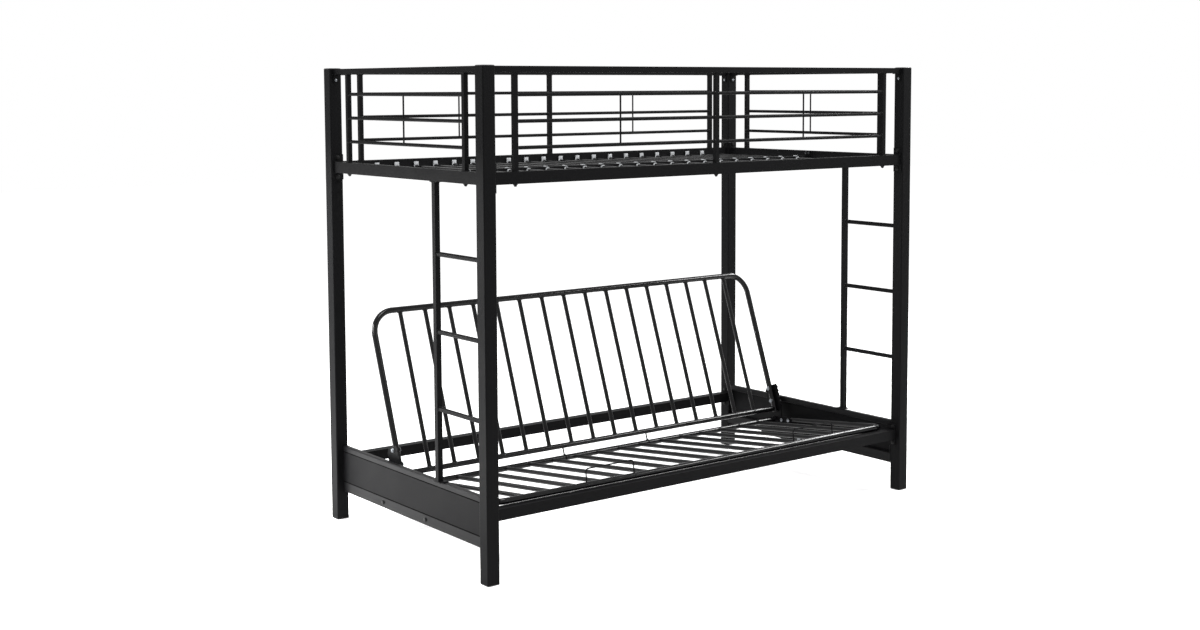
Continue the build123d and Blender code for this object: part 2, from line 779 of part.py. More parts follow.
with BuildPart() as seat_axle_tube:
    with BuildSketch(along(seat_direction, -axle_end_x)):
        ring_section(tube_radius, tube_wall)
    extrude(amount=2 * axle_end_x)
save(seat_axle_tube, "seat_axle_tube")

with BuildPart() as seat_bars:
    with BuildSketch(Plane(origin=axle_point, x_dir=(1, 0, 0), z_dir=seat_direction)):
        with GridLocations(frame_bar_pitch, 0, frame_bar_count, 1):
            ring_section(frame_bar_diameter / 2, frame_bar_wall)
    extrude(amount=seat_length)
    with BuildSketch(along(seat_direction, -frame_half_width)):
        with Locations((0, 0), (seat_length, 0)):
            Circle(tube_radius + weld_gap)
    extrude(amount=2 * frame_half_width, mode=Mode.SUBTRACT)
save(seat_bars, "seat_bars")

with BuildPart() as seat_hinge_plates:
    for side_x in (-1, 1):
        with BuildSketch(along(seat_direction, side_x * (seat_plate_x - hinge_plate / 2))):
            Circle(seat_plate_eye)
            with Locations((seat_plate_reach, 0)):
                Circle(seat_plate_tail)
            make_hull()
            Circle(axle_bolt_radius + fit_clearance, mode=Mode.SUBTRACT)
            with Locations(*[(reach, 0) for reach in seat_bolts]):
                Circle(bolt_radius + hole_clearance, mode=Mode.SUBTRACT)
        extrude(amount=hinge_plate / 2, both=True)
save(seat_hinge_plates, "seat_hinge_plates")


def hinge_bolts(head_x, end_x, direction, reaches):
    """Hexagon bolts through a hinge plate and the frame tube, heads on the inner side."""
    with BuildPart() as bolts:
        for side_x in (-1, 1):
            plane = Plane(origin=(side_x * head_x, axle_back, axle_height), x_dir=direction, z_dir=(side_x, 0, 0))
            with BuildSketch(plane):
                with Locations(*[(reach, 0) for reach in reaches]):
                    hexagon(bolt_head_flats)
            extrude(amount=-bolt_head_height)
            with BuildSketch(plane):
                with Locations(*[(reach, 0) for reach in reaches]):
                    Circle(bolt_radius)
            extrude(amount=end_x - head_x)
    return bolts


seat_bolts_part = hinge_bolts(seat_plate_x - hinge_plate, frame_half_width, seat_direction, seat_bolts)
save(seat_bolts_part, "seat_plate_bolts")

# Bolts on which the seat, backrest and arms turn, each with a spacer sleeve between the two plates
axle_inside = tube_radius - tube_wall - hole_clearance
with BuildPart() as axle_bolts:
    for side_x in (-1, 1):
        plane = Plane(origin=(side_x * axle_head_x, axle_back, axle_height), x_dir=(0, 1, 0),
                      z_dir=(side_x, 0, 0))
        with BuildSketch(plane):
            hexagon(axle_bolt_head_flats)
        extrude(amount=axle_bolt_head_height)
        with BuildSketch(plane):
            Circle(axle_bolt_radius)
        extrude(amount=-(axle_head_x - axle_end_x))
        with BuildSketch(plane.offset(tube_outer_x - axle_head_x)):
            Circle(axle_sleeve_radius)
        extrude(amount=-frame_tube)
        with BuildSketch(plane.offset(axle_end_x - axle_head_x)):
            Circle(axle_inside)
        extrude(amount=-axle_plug_length)
save(axle_bolts, "axle_bolts")

# Wire stops on the front tube that keep the mattress from sliding off
with BuildPart() as mattress_stops:
    for middle in stop_middles:
        stop_plane = Plane(origin=Vector(*axle_point) + seat_direction * seat_length + Vector(middle, 0, 0),
                           x_dir=(1, 0, 0), z_dir=seat_direction)
        with BuildLine(stop_plane) as stop_path:
            FilletPolyline(
                (-stop_width / 2, tube_radius + weld_gap),
                (-stop_width / 2, tube_radius + stop_height),
                (stop_width / 2, tube_radius + stop_height),
                (stop_width / 2, tube_radius + weld_gap),
                radius=stop_bend,
            )
        with BuildSketch(Plane(origin=stop_path.line @ 0, z_dir=stop_path.line % 0)):
            Circle(stop_wire / 2)
        sweep(path=stop_path.line)
save(mattress_stops, "mattress_stops")

# Backrest, a bent tube open at the bottom
back_plane = Plane(origin=axle_point, x_dir=(1, 0, 0), z_dir=Vector(1, 0, 0).cross(back_direction))
back_bolts = [back_bolt_first, back_bolt_second]
with BuildPart() as back_frame:
    with BuildLine(back_plane) as back_path:
        FilletPolyline(
            (-frame_half_width, back_tube_setback),
            (-frame_half_width, back_length),
            (frame_half_width, back_length),
            (frame_half_width, back_tube_setback),
            radius=back_corner,
        )
    with BuildSketch(Plane(origin=back_path.line @ 0, z_dir=back_path.line % 0)):
        ring_section(tube_radius, tube_wall)
    sweep(path=back_path.line)
    for side_x in (-1, 1):
        with BuildSketch(along(back_direction, side_x * frame_half_width)):
            with Locations(*[(reach, 0) for reach in back_bolts]):
                Circle(bolt_radius + hole_clearance)
        extrude(amount=frame_tube, both=True, mode=Mode.SUBTRACT)
save(back_frame, "back_frame")

with BuildPart() as back_low_rail:
    with BuildSketch(along(back_direction, -frame_half_width)):
        with Locations((back_low_tube_offset, 0)):
            ring_section(back_low_tube / 2, tube_wall)
    extrude(amount=2 * frame_half_width)
    with BuildSketch(Plane(origin=axle_point, x_dir=(1, 0, 0), z_dir=back_direction)):
        with Locations((-frame_half_width, 0), (frame_half_width, 0)):
            Circle(tube_radius + weld_gap)
    extrude(amount=2 * back_low_tube_offset, mode=Mode.SUBTRACT)
save(back_low_rail, "back_low_tube")

with BuildPart() as back_bars:
    with BuildSketch(Plane(origin=axle_point, x_dir=(1, 0, 0), z_dir=back_direction).offset(back_low_tube_offset)):
        with GridLocations(frame_bar_pitch, 0, frame_bar_count, 1):
            ring_section(frame_bar_diameter / 2, frame_bar_wall)
    extrude(amount=back_length - back_low_tube_offset)
    with BuildSketch(along(back_direction, -frame_half_width)):
        with Locations((back_low_tube_offset, 0)):
            Circle(back_low_tube / 2 + weld_gap)
        with Locations((back_length, 0)):
            Circle(tube_radius + weld_gap)
    extrude(amount=2 * frame_half_width, mode=Mode.SUBTRACT)
save(back_bars, "back_bars")

# Hinge plates of the backrest, with a row of catch teeth along the front edge
tooth_pitch = (back_plate_top - back_plate_corner - back_plate_foot) / tooth_count
with BuildPart() as back_hinge_plates:
    for side_x in (-1, 1):
        plate_plane = along(back_direction, side_x * (back_plate_x - hinge_plate / 2))
        with BuildSketch(plate_plane):
            with BuildLine():
                outline = [(0, -seat_plate_eye), (back_plate_rear_foot, -back_plate_rear)]
                outline.append((back_plate_top - back_plate_bevel, -back_plate_rear))
                outline.append((back_plate_top, back_plate_bevel - back_plate_rear))
                outline.append((back_plate_top, back_plate_front))
                for tooth in range(tooth_count):
                    start = back_plate_top - back_plate_corner - tooth * tooth_pitch
                    outline.append((start, back_plate_front))
                    outline.append((start - tooth_pitch / 2, back_plate_front + tooth_height))
                outline.append((back_plate_foot, back_plate_front))
                outline.append((0, seat_plate_eye))
                Polyline(*outline, close=True)
            make_face()
            Circle(seat_plate_eye)
            Circle(axle_bolt_radius + fit_clearance, mode=Mode.SUBTRACT)
            with Locations(*[(reach, 0) for reach in back_bolts]):
                Circle(bolt_radius + hole_clearance, mode=Mode.SUBTRACT)
        extrude(amount=hinge_plate / 2, both=True)
save(back_hinge_plates, "back_hinge_plates")

back_bolts_part = hinge_bolts(tube_inner_x, back_plate_x + back_bolt_end, back_direction, back_bolts)
save(back_bolts_part, "back_plate_bolts")

# Wire ties from the low tube of the backrest, each with an eye round the axle tube
tie_end = back_low_tube_offset - back_low_tube / 2 - weld_gap
tie_eye = tube_radius + tie_eye_clearance
with BuildPart() as tie_links:
    for side_x in (-1, 1):
        with BuildSketch(along(back_direction, side_x * tie_reach)):
            ring_section(tie_eye + tie_wire / 2, tie_wire / 2)
        extrude(amount=tie_wire / 2, both=True)
        with BuildSketch(Plane(origin=Vector(*axle_point) + Vector(side_x * tie_reach, 0, 0),
                               x_dir=(1, 0, 0), z_dir=back_direction).offset(tie_eye + tie_wire / 4)):
            Rectangle(tie_wire, tie_wire)
        extrude(amount=tie_end - tie_eye - tie_wire / 4)
save(tie_links, "tie_links")

print("seat tilt", round(seat_tilt, 4), "arm foot y", round(arm_foot_y, 4), "arm length", round(arm_length, 4))
print("arm angle from", round(sofa_angle, 4), "to", round(flat_angle, 4), "flat axle height", flat_height)
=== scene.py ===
# %% [markdown]
# A bunk bed of black steel tube stands over a futon frame that folds from sofa to flat bed. The
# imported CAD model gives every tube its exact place. This lesson loads it as a fixed frame, then
# adds what a maker sees close up: weld beads, domed nuts, moulded plugs, clips and coated metal.
# Lengths are in metres, and angles in radians.

import json
import math

import bmesh
import bpy
from mathutils import Matrix, Vector


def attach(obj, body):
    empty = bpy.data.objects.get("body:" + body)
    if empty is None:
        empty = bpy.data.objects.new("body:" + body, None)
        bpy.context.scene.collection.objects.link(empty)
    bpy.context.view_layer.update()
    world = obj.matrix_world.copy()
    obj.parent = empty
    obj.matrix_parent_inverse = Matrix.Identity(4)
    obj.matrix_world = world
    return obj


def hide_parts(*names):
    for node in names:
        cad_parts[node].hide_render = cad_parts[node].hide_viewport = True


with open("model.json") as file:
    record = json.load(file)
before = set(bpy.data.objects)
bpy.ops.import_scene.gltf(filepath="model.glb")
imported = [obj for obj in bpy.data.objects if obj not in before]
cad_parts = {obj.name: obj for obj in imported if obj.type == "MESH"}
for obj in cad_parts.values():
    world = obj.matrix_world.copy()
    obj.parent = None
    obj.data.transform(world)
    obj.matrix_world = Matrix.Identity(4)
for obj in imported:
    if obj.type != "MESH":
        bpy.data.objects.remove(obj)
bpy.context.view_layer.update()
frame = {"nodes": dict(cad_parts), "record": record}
nodes = frame["nodes"]
bpy.ops.object.select_all(action="DESELECT")

# %% [markdown]
# The photograph was taken from the front left, a little below the top of the bed, with a normal
# lens of some 47 mm. Its posts are parallel, as in a view that looks level and is shifted down.
# Here the camera is tipped down by nearly five degrees instead and shifted only a little, so that
# views from other sides keep the whole bed in the picture.

# %% Camera
camera_place = (-3.6818, -4.6429, 1.5944)
camera_turn = -0.6599
camera_pitch = 0.0843
camera_roll = 0.0038
camera_lens = 47.16
camera_shift = (-0.0088, -0.08)

bpy.ops.object.camera_add(
    location=camera_place, rotation=(math.pi / 2 - camera_pitch, camera_roll, camera_turn)
)
camera = bpy.context.object
camera.data.lens = camera_lens
camera.data.shift_x, camera.data.shift_y = camera_shift
bpy.context.scene.camera = camera
bpy.context.scene.view_settings.view_transform = "Standard"
print("camera at", camera_place, "lens", camera_lens)

# %% [markdown]
# A product studio is a pale floor that runs into a white wall, with large soft lamps. The camera
# sees the floor as white paper, bright but for the soft shadow of the bed. That white is a glow
# that only the camera and shiny surfaces see, so it throws no light on the bed. One function adds
# nodes and one turns colours, for the studio and for every material that follows.

# %% Node and colour helpers
def linear(code):
    """Linear colour of an sRGB hex value by the standard's formula, with an alpha of one."""
    colour = []
    for place in (1, 3, 5):
        share = int(code[place : place + 2], 16) / 255
        colour.append(share / 12.92 if share <= 0.04045 else ((share + 0.055) / 1.055) ** 2.4)
    return (*colour, 1.0)


def add_node(tree, kind, settings=None, values=None, links=None):
    """Add a node, set its properties and socket values, and link its inputs."""
    node = tree.nodes.new(kind)
    for name, value in (settings or {}).items():
        setattr(node, name, value)
    for name, value in (values or {}).items():
        node.inputs[name].default_value = value
    for name, source in (links or {}).items():
        tree.links.new(source, node.inputs[name])
    return node


def new_material(name):
    """A new material and its node tree, emptied of the nodes that Blender puts there."""
    material = bpy.data.materials.new(name)
    material.use_nodes = True
    tree = material.node_tree
    tree.nodes.clear()
    return material, tree


def close_material(tree, shade):
    """Link the last shader of a material to its output."""
    add_node(tree, "ShaderNodeOutputMaterial", links={"Surface": shade.outputs[0]})


def object_place(tree):
    """Object coordinates, by which a pattern keeps its real size and moves with its piece."""
    return add_node(tree, "ShaderNodeTexCoord").outputs["Object"]


def seen_or_mirrored(tree):
    """One for rays by which the camera or a shiny surface sees, and zero for all others."""
    ray = add_node(tree, "ShaderNodeLightPath")
    either = add_node(
        tree,
        "ShaderNodeMath",
        {"operation": "MAXIMUM"},
        links={0: ray.outputs["Is Camera Ray"], 1: ray.outputs["Is Glossy Ray"]},
    )
    return either.outputs[0]


# %% Studio floor
floor_size = 40
floor_white = linear("#f4f4f4")
fade_start, fade_end = 1.6, 4.0
near_glow, far_glow = 0.5, 0.7
material, tree = new_material("studio_floor")
distance = add_node(
    tree, "ShaderNodeVectorMath", {"operation": "LENGTH"}, links={0: object_place(tree)}
)
fade = add_node(
    tree,
    "ShaderNodeMapRange",
    values={"From Min": fade_start, "From Max": fade_end, "To Min": near_glow, "To Max": far_glow},
    links={"Value": distance.outputs["Value"]},
)
strength = add_node(
    tree,
    "ShaderNodeMath",
    {"operation": "MULTIPLY"},
    links={0: seen_or_mirrored(tree), 1: fade.outputs["Result"]},
)
paper = add_node(tree, "ShaderNodeBsdfDiffuse", values={"Color": floor_white})
glow = add_node(
    tree,
    "ShaderNodeEmission",
    values={"Color": floor_white},
    links={"Strength": strength.outputs[0]},
)
shade = add_node(tree, "ShaderNodeAddShader", links={0: paper.outputs[0], 1: glow.outputs[0]})
close_material(tree, shade)
bpy.ops.mesh.primitive_plane_add(size=floor_size)
floor = bpy.context.object
floor.name = "studio_floor"
floor.data.materials.append(material)
floor.select_set(False)
print("floor", floor_size, "wide")

# %% White wall all round
white = linear("#ffffff")
light_strength, wall_strength = 0.5, 1.0
world = bpy.data.worlds.new("studio")
world.use_nodes = True
bpy.context.scene.world = world
tree = world.node_tree
tree.nodes.clear()
soft_light = add_node(
    tree, "ShaderNodeBackground", values={"Color": white, "Strength": light_strength}
)
white_wall = add_node(
    tree, "ShaderNodeBackground", values={"Color": white, "Strength": wall_strength}
)
both = add_node(
    tree,
    "ShaderNodeMixShader",
    links={0: seen_or_mirrored(tree), 1: soft_light.outputs[0], 2: white_wall.outputs[0]},
)
add_node(tree, "ShaderNodeOutputWorld", links={"Surface": both.outputs[0]})
print("wall", wall_strength, "soft light", light_strength)

# %% [markdown]
# Black tube shows its form by its highlights, so the lamps are placed for those. A long strip on
# the right draws thin bright lines along the round tubes, and a soft lamp above lights the slats.
# One lamp is turned to the floor on the left, which throws its light up against that end.

# %% Lamps
bed_middle = (0, 0, 0.8)
floor_beside_bed = (-2.2, 1.1, 0)
strip_width = 0.4
lamps = (
    ("lamp_left", (-4.5, -1.5, 3.4), bed_middle, 1.8, 28),
    ("lamp_low", (-3.2, 2.6, 0.5), bed_middle, 1.5, 8),
    ("lamp_floor", (-2.3, 1.1, 1.3), floor_beside_bed, 1.2, 150),
    ("lamp_front", (1.5, -5.0, 3.6), bed_middle, 1.0, 16),
    ("lamp_top", (-0.5, -1.2, 4.6), bed_middle, 1.6, 120),
    ("lamp_strip", (3.6, -0.9, 3.4), bed_middle, 4.6, 240),
)
for name, place, target, size, power in lamps:
    aim = Vector(target) - Vector(place)
    turn = aim.to_track_quat("-Z", "Y").to_euler()
    bpy.ops.object.light_add(type="AREA", location=place, rotation=turn)
    lamp = bpy.context.object
    lamp.name = name
    lamp.data.size = size
    lamp.data.energy = power
    if name == "lamp_strip":
        lamp.data.shape = "RECTANGLE"
        lamp.data.size_y = strip_width
bpy.ops.object.select_all(action="DESELECT")
print("lamps", len(lamps))

# %% [markdown]
# Powder coat is baked epoxy dust. It flows into a satin skin with a faint orange peel, about a
# millimetre from crest to crest. Broad patches vary a little in gloss where the gun passed twice.
# The peel is a fine noise that only tilts the light, and the patches are a broad one on the gloss.
# Square tube is dull, and the drawn round tubes are smoother, so they get glossier coats.

# %% Black powder coat
def noise(tree, scale, detail):
    """Soft noise that varies between zero and one, with a given count of waves to the metre."""
    pattern = add_node(
        tree,
        "ShaderNodeTexNoise",
        values={"Scale": scale, "Detail": detail},
        links={"Vector": object_place(tree)},
    )
    return pattern.outputs["Fac"]


def relief(tree, height, strength, distance):
    """Surface direction on a skin that a pattern raises by up to a distance."""
    bump = add_node(
        tree,
        "ShaderNodeBump",
        values={"Strength": strength, "Distance": distance},
        links={"Height": height},
    )
    return bump.outputs["Normal"]


def powder_coat(name, colour, roughness, specular):
    """Black epoxy powder coat on steel, with orange peel and patches of slightly other gloss."""
    material, tree = new_material(name)
    gloss = add_node(
        tree,
        "ShaderNodeMapRange",
        values={"To Min": roughness - 0.05, "To Max": roughness + 0.06},
        links={"Value": noise(tree, scale=9.0, detail=2.0)},
    )
    peel = relief(tree, noise(tree, scale=700.0, detail=1.0), strength=0.12, distance=0.0003)
    shade = add_node(
        tree,
        "ShaderNodeBsdfPrincipled",
        values={"Base Color": linear(colour), "Specular IOR Level": specular},
        links={"Roughness": gloss.outputs["Result"], "Normal": peel},
    )
    close_material(tree, shade)
    return material


frame_coat = powder_coat("powder_coated_steel", "#0b0b0c", roughness=0.5, specular=0.05)
tube_coat = powder_coat("powder_coated_round_tube", "#0c0c0d", roughness=0.3, specular=0.14)
gloss_coat = powder_coat("gloss_coated_frame_tube", "#0a0a0b", roughness=0.13, specular=0.2)
panel_coat = powder_coat("powder_coated_panel_tube", "#0d0d0e", roughness=0.42, specular=0.09)
print("coats", frame_coat.name, tube_coat.name, gloss_coat.name, panel_coat.name)

# %% [markdown]
# The bolts of the folding frame and the screws of the guard brackets are plated with zinc. The
# bath leaves a grey metal with soft crystal patches, so two greys are mixed by a fine noise. All
# other bolts are black. The clips, collars and saddles of the slats are grey plastic, and the
# plugs and sleeves are black.

# %% Zinc plate, black bolts and plastics
def plated_steel(name, dark, pale, roughness, grain):
    """Zinc-plated steel whose crystals give patches of two greys."""
    material, tree = new_material(name)
    ramp = add_node(tree, "ShaderNodeValToRGB", links={"Fac": noise(tree, grain, detail=3.0)})
    ramp.color_ramp.elements[0].color = linear(dark)
    ramp.color_ramp.elements[1].color = linear(pale)
    shade = add_node(
        tree,
        "ShaderNodeBsdfPrincipled",
        values={"Metallic": 1.0, "Roughness": roughness},
        links={"Base Color": ramp.outputs["Color"]},
    )
    close_material(tree, shade)
    return material


def moulded_plastic(name, colour, roughness, grain, specular=0.5):
    """Injection moulded plastic with the fine spark texture of its mould."""
    material, tree = new_material(name)
    spark = relief(tree, noise(tree, grain, detail=2.0), strength=0.2, distance=0.0002)
    shade = add_node(
        tree,
        "ShaderNodeBsdfPrincipled",
        values={
            "Base Color": linear(colour),
            "Roughness": roughness,
            "Specular IOR Level": specular,
        },
        links={"Normal": spark},
    )
    close_material(tree, shade)
    return material


zinc = plated_steel("zinc_plated_steel", "#505356", "#8e9195", roughness=0.34, grain=160.0)
black_oxide = powder_coat("black_oxide_steel", "#0a0a0a", roughness=0.45, specular=0.14)
nylon = moulded_plastic("moulded_grey_nylon", "#9a9c9e", roughness=0.45, grain=900.0)
polyethylene = moulded_plastic(
    "moulded_black_polyethylene", "#121214", roughness=0.42, grain=900.0
)
print("finishes", zinc.name, black_oxide.name, nylon.name, polyethylene.name)

# %% [markdown]
# Each CAD node keeps its mesh and gets its finish by its slot. Some nodes of black steel shine
# more than the rest in the photograph, so they are named with the coat that they get instead.

# %% Finish of every CAD node
slot_finish = {
    "black_steel": frame_coat,
    "slat_steel": gloss_coat,
    "zinc_fasteners": zinc,
    "black_fasteners": black_oxide,
    "light_plastic": nylon,
    "black_plastic": polyethylene,
}
node_finish = {
    "seat_frame": gloss_coat,
    "seat_axle_tube": gloss_coat,
    "back_frame": gloss_coat,
    "back_low_tube": gloss_coat,
    "seat_bars": tube_coat,
    "back_bars": tube_coat,
    "end_panel_frame_left": panel_coat,
    "end_panel_frame_right": panel_coat,
}
for entry in frame["record"]["subparts"]:
    name = entry["node"]
    finish = node_finish.get(name, slot_finish[entry["material_slot"]])
    nodes[name].data.materials.clear()
    nodes[name].data.materials.append(finish)

# %% [markdown]
# The pieces that follow are small and sit on known places, so those places come first: the axle of
# the folding frame, the two directions that lead from it, the spacing of bars and slats, and the
# posts. Straight square tubes end in flat faces, so their places and sizes are read from the
# meshes of the CAD nodes. Each piece is modelled once, standing on the origin with its height
# along Z, and a matrix then carries every copy to its place.

# %% Places on the frame
X, Y, Z = range(3)


def span(name, axis):
    """Where a CAD node begins and ends along an axis."""
    places = [vertex.co[axis] for vertex in nodes[name].data.vertices]
    return min(places), max(places)


def middle(name, axis):
    """Place halfway between the two ends of a CAD node along an axis."""
    return sum(span(name, axis)) / 2


def extent(name, axis):
    """Size of a CAD node along an axis."""
    low, high = span(name, axis)
    return high - low


def spread(count, spacing):
    """Places along the bed, a spacing apart and centred on its middle."""
    return [(step - (count - 1) / 2) * spacing for step in range(count)]


axle = Vector((0, 0.132, 0.182))
seat_tilt = math.radians(6.4811)
back_lean = math.radians(19.7)
seat_direction = Vector((0, -math.cos(seat_tilt), math.sin(seat_tilt)))
back_direction = Vector((0, math.sin(back_lean), math.cos(back_lean)))
bar_places = spread(count=16, spacing=0.1057)
slat_places = spread(count=22, spacing=0.084)
sides = (-1, 1)
corners = [(side_x, side_y) for side_x in sides for side_y in sides]
post_x, post_y = middle("post_back_right", X), middle("post_back_right", Y)
post_face_x, post_face_y = span("post_back_right", X)[0], span("post_back_right", Y)[0]
print("bars", len(bar_places), "slats", len(slat_places), "posts at", post_x, post_y)

# %% Helpers for placing
def standing(place, direction):
    """Matrix that carries a model from the origin to a place, its local Z along a direction."""
    turn = Vector(direction).to_track_quat("Z", "Y").to_matrix().to_4x4()
    return Matrix.Translation(place) @ turn


def on_fold(direction, reach, x):
    """Point on the folding frame, a reach from the axle along the seat or the backrest."""
    return axle + direction * reach + Vector((x, 0, 0))


def lengthwise(x, y, z):
    """Places at the four corners that face the middle of the bed along its length."""
    return [standing((sx * x, sy * y, z), (-sx, 0, 0)) for sx, sy in corners]


def crosswise(x, y, z):
    """Places at the four corners that face the middle of the bed across its depth."""
    return [standing((sx * x, sy * y, z), (0, -sy, 0)) for sx, sy in corners]


# %% Helpers for picking, copying and finishing
merge_distance = 0.00001
smooth_angle = math.radians(40)
head_on_share = 0.9


def pick(piece, kind, test):
    """Open a piece in edit mode with only the verts, edges or faces that pass a test selected."""
    if bpy.context.mode != "OBJECT":
        bpy.ops.object.mode_set(mode="OBJECT")
    bpy.ops.object.select_all(action="DESELECT")
    piece.select_set(True)
    bpy.context.view_layer.objects.active = piece
    bpy.ops.object.mode_set(mode="EDIT")
    bpy.ops.mesh.select_mode(type={"verts": "VERT", "edges": "EDGE", "faces": "FACE"}[kind])
    bpy.ops.mesh.select_all(action="DESELECT")
    mesh = bmesh.from_edit_mesh(piece.data)
    for part in getattr(mesh, kind):
        if test(part):
            part.select_set(True)
    bmesh.update_edit_mesh(piece.data)


def finish_piece(piece, name, material, body):
    """Settle a piece's normals, smoothing and material, and let it ride on its body."""
    piece.name = name
    pick(piece, "faces", lambda face: True)
    bpy.ops.mesh.remove_doubles(threshold=merge_distance)
    bpy.ops.mesh.normals_make_consistent(inside=False)
    bpy.ops.object.mode_set(mode="OBJECT")
    bpy.ops.object.transform_apply(location=True, rotation=True, scale=True)
    bpy.ops.object.shade_smooth_by_angle(angle=smooth_angle)
    piece.data.materials.clear()
    piece.data.materials.append(material)
    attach(piece, body)
    piece.select_set(False)


def set_copies(model, places, name, material, body, keep=False):
    """Copy a model to every place as one finished piece, and drop the model unless it is kept."""
    bpy.ops.object.select_all(action="DESELECT")
    copies = []
    for place in places:
        copy = model.copy()
        copy.data = model.data.copy()
        copy.data.transform(place)
        bpy.context.collection.objects.link(copy)
        copy.select_set(True)
        copies.append(copy)
    piece = copies[0]
    bpy.context.view_layer.objects.active = piece
    bpy.ops.object.join()
    finish_piece(piece, name, material, body)
    if not keep:
        bpy.data.objects.remove(model)
    print(name, "copies", len(places), "faces", len(piece.data.polygons))
    return piece


# %% [markdown]
# Every bar of this bed is welded where it meets a tube. A weld is a small rippled ring of steel
# under the paint. On a round tube the ring bends down both sides like a saddle, so the ring is
# made flat as a torus and its points are then lifted to the height of the tube under them.

# %% Weld bead model
bead_steps, bead_facets = 20, 6
crest, hollow = 1.05, 0.97


def weld_bead(bar_radius, tube_radius, size=0.0021):
    """Rippled ring round a bar, bent to the saddle of the tube, whose axis is the local X."""
    bpy.ops.mesh.primitive_torus_add(
        major_radius=bar_radius + size * 0.3,
        minor_radius=size,
        major_segments=bead_steps,
        minor_segments=bead_facets,
    )
    bead = bpy.context.object
    for place, vertex in enumerate(bead.data.vertices):
        ripple = crest if (place // bead_facets) % 2 else hollow
        vertex.co.x *= ripple
        vertex.co.y *= ripple
        vertex.co.z += math.sqrt(max(tube_radius**2 - vertex.co.y**2, 0))
    return bead


# %% Beads of the seat and the backrest
tube_radius, low_tube_radius, bar_radius = 0.011, 0.010, 0.008
seat_front_reach = 0.597
back_top_reach, back_low_reach = 0.637, 0.046


def bar_ends(direction, reach, way):
    """Places of the bars' ends on a tube, facing away from the axle (1) or towards it (-1)."""
    return [standing(on_fold(direction, reach, x), direction * way) for x in bar_places]


bead = weld_bead(bar_radius, tube_radius)
seat_ends = bar_ends(seat_direction, 0, 1) + bar_ends(seat_direction, seat_front_reach, -1)
set_copies(bead, seat_ends, "seat_bar_welds", tube_coat, "seat", keep=True)
top_ends = bar_ends(back_direction, back_top_reach, -1)
set_copies(bead, top_ends, "back_bar_top_welds", tube_coat, "backrest")
bead = weld_bead(bar_radius, low_tube_radius)
low_ends = bar_ends(back_direction, back_low_reach, 1)
set_copies(bead, low_ends, "back_bar_low_welds", tube_coat, "backrest")

# %% Beads of the mattress stops
stop_wire_radius, stop_bead_size = 0.0025, 0.0012
stop_middles, stop_half_width = (-0.44205, 0.53297), 0.103
stop_feet = [middle + side * stop_half_width for middle in stop_middles for side in sides]
stop_ends = [
    standing(on_fold(seat_direction, seat_front_reach, x), seat_direction) for x in stop_feet
]
bead = weld_bead(stop_wire_radius, tube_radius, stop_bead_size)
set_copies(bead, stop_ends, "mattress_stop_welds", tube_coat, "seat")

# %% Beads of the guard rods
rod_radius, rod_heights = 0.006, (1.4, 1.4845, 1.569)
upright_width = extent("guard_uprights_back", Y)
half_upright = upright_width / 2
upright_x = span("guard_uprights_back", X)[1] - half_upright
upright_y = span("guard_uprights_right", Y)[1] - half_upright
outer_x, outer_y = upright_x - half_upright, upright_y - half_upright
rod_ends = []
for z in rod_heights:
    for side in sides:
        for x, way in ((-outer_x, 1), (-half_upright, -1), (half_upright, 1), (outer_x, -1)):
            rod_ends.append(standing((x, side * post_y, z), (way, 0, 0)))
        for way in sides:
            rod_ends.append(standing((side * post_x, -way * outer_y, z), (0, way, 0)))
bead = weld_bead(rod_radius, 0)
set_copies(bead, rod_ends, "guard_rod_welds", tube_coat, "bed_frame")

# %% Beads of the ladder rungs
rung_radius = 0.008
stile_width, stile_y = extent("ladder_stile_right", Y), middle("ladder_stile_right", Y)
stile_foot, stile_head = span("ladder_stile_right", Z)
first_rung_share, next_rung_share = 0.245, 0.259
rung_heights = [
    stile_foot + (stile_head - stile_foot) * (first_rung_share + next_rung_share * step)
    for step in range(3)
]
rung_ends = []
for z in rung_heights:
    for side in sides:
        rung_ends.append(standing((side * post_x, stile_y - stile_width / 2, z), (0, -1, 0)))
        rung_ends.append(standing((side * post_x, -post_face_y, z), (0, 1, 0)))
bead = weld_bead(rung_radius, 0)
set_copies(bead, rung_ends, "rung_welds", tube_coat, "bed_frame")

# %% [markdown]
# Square tubes stand on flat faces, so their welds are square collars. A collar is a low block a
# little wider than the tube, with its upper edges rolled over by a bevel.

# %% Weld collar model
def block(width, depth, low, high):
    """Block centred on the local Z, from one height to another."""
    bpy.ops.mesh.primitive_cube_add(
        size=1, location=(0, 0, (low + high) / 2), scale=(width, depth, high - low)
    )
    bpy.ops.object.transform_apply(location=True, rotation=True, scale=True)
    return bpy.context.object


def round_edges(piece, test, offset, segments):
    """Round the edges of a piece that pass a test."""
    pick(piece, "edges", test)
    bpy.ops.mesh.bevel(offset=offset, segments=segments, affect="EDGES")
    bpy.ops.object.mode_set(mode="OBJECT")
    return piece


def weld_collar(width, depth, size=0.002):
    """Low block round a square tube, its upper edges rounded."""
    collar = block(width + 2 * size, depth + 2 * size, 0, size)
    return round_edges(
        collar,
        lambda edge: max(vert.co.z for vert in edge.verts) > size / 2,
        offset=size * 0.75,
        segments=3,
    )


